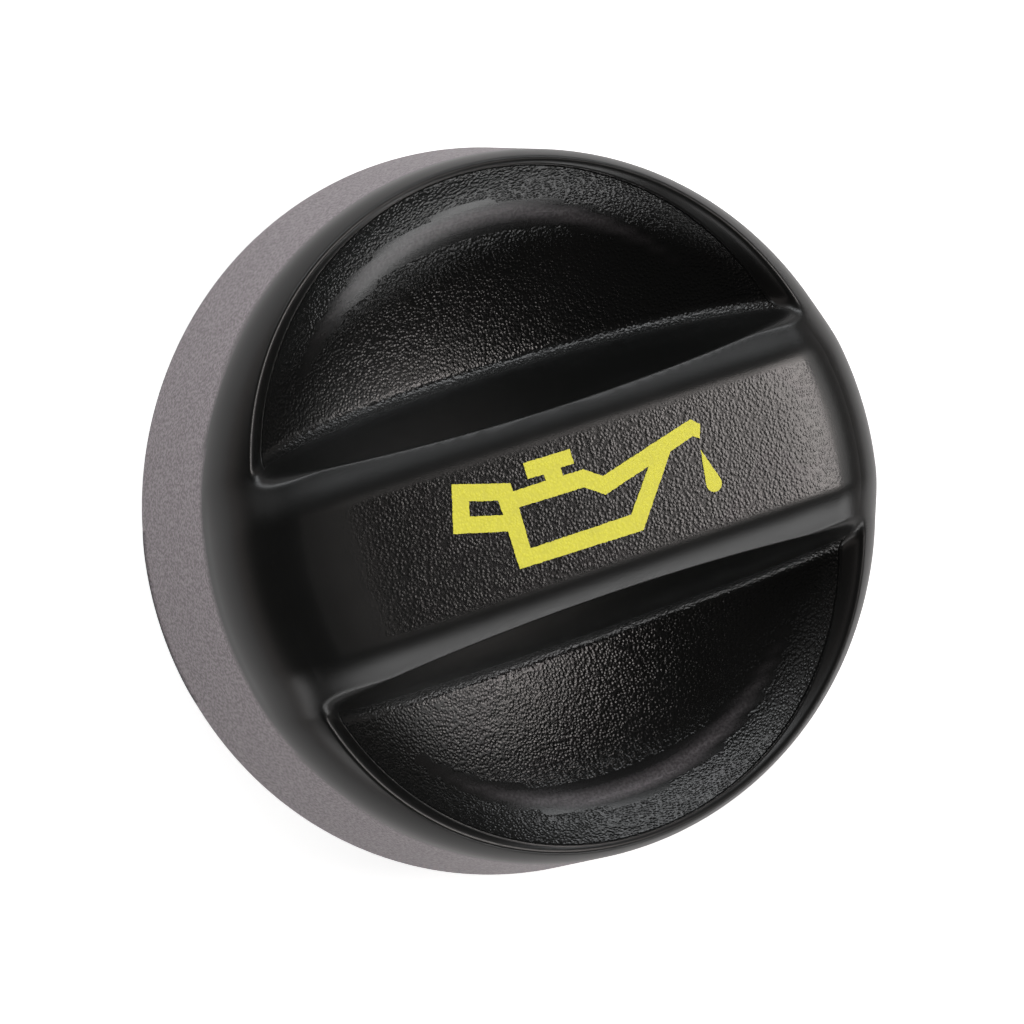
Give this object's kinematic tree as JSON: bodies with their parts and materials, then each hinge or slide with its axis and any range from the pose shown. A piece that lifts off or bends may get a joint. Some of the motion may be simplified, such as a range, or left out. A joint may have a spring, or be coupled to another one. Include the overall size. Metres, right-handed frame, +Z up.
{
  "type": "oil filler cap",
  "caption": "Round quarter-turn oil filler cap with a raised grip bar between two finger pockets, a bayonet plug below and a flat seal.",
  "frame": {"origin": "centre of the plug's lower edge, on the cap's axis", "axes": "+Z up the cap's axis towards the grip bar, +X along the grip bar"},
  "size_m": [0.0648, 0.0648, 0.0293],
  "materials": {
    "cap_plastic": "fine-grained satin, pebble grain on the pocket floors and on the bar's face",
    "plug_plastic": "smooth satin",
    "seal_rubber": "matt",
    "pad_print": "printed symbol on the grained bar"
  },
  "bodies": {
    "root": {"grip_cap": "cap_plastic", "bayonet_plug": "plug_plastic", "seal_ring": "seal_rubber"}
  },
  "joints": []
}
